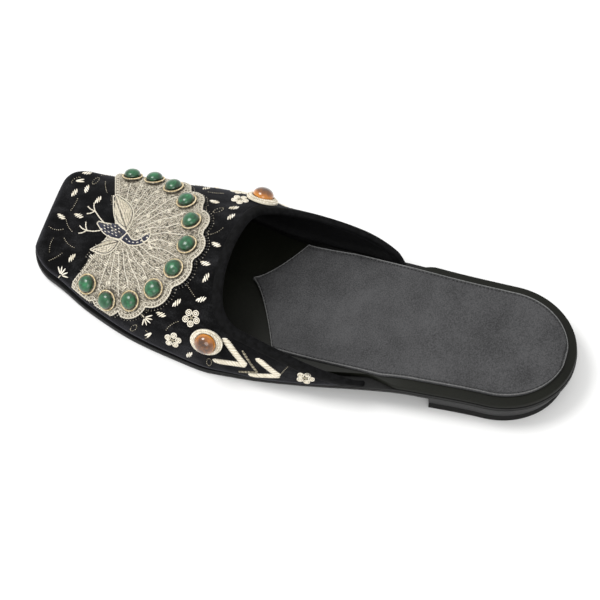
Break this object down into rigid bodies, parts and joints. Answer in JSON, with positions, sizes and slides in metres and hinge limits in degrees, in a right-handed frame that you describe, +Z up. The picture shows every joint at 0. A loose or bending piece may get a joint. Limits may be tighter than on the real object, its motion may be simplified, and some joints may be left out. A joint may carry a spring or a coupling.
{
  "type": "mule",
  "caption": "Low square-toe black velvet mule for the left foot, with a scalloped metal-thread fan patch, green and amber cabochons and a low covered heel.",
  "frame": {"origin": "on the floor, under the middle of the shoe's bounding box", "axes": "+Z up, the toe points to -Y and the heel to +Y, +X is the lateral (little-toe) side of the left foot"},
  "size_m": [0.09, 0.25, 0.0422],
  "materials": {
    "black_leather": "smooth dark sole leather",
    "heel_cover": "dark cover stretched over the heel",
    "rubber": "matte black",
    "olive_leather": "smooth olive-black",
    "grey_leather": "fine-grained charcoal",
    "black_velvet": "short-pile black velvet",
    "metal_thread": "dense silver-grey metal-thread embroidery",
    "gilt_wire": "pale gilt wire",
    "green_stone": "polished mottled green, opaque",
    "cream_thread": "cream satin stitch",
    "amber": "polished amber"
  },
  "bodies": {
    "root": {"outsole": "black_leather", "heel_block": "heel_cover", "heel_top_lift": "rubber", "insole": "olive_leather", "heel_pad": "grey_leather", "upper": "black_velvet", "fan_patch": "metal_thread", "bezel_01": "gilt_wire", "bezel_02": "gilt_wire", "bezel_03": "gilt_wire", "bezel_04": "gilt_wire", "bezel_05": "gilt_wire", "bezel_06": "gilt_wire", "bezel_07": "gilt_wire", "bezel_08": "gilt_wire", "bezel_09": "gilt_wire", "bezel_10": "gilt_wire", "bezel_11": "gilt_wire", "stone_01": "green_stone", "stone_02": "green_stone", "stone_03": "green_stone", "stone_04": "green_stone", "stone_05": "green_stone", "stone_06": "green_stone", "stone_07": "green_stone", "stone_08": "green_stone", "stone_09": "green_stone", "stone_10": "green_stone", "stone_11": "green_stone", "amber_base_lateral": "cream_thread", "amber_base_medial": "cream_thread", "amber_lateral": "amber", "amber_medial": "amber"}
  },
  "joints": []
}
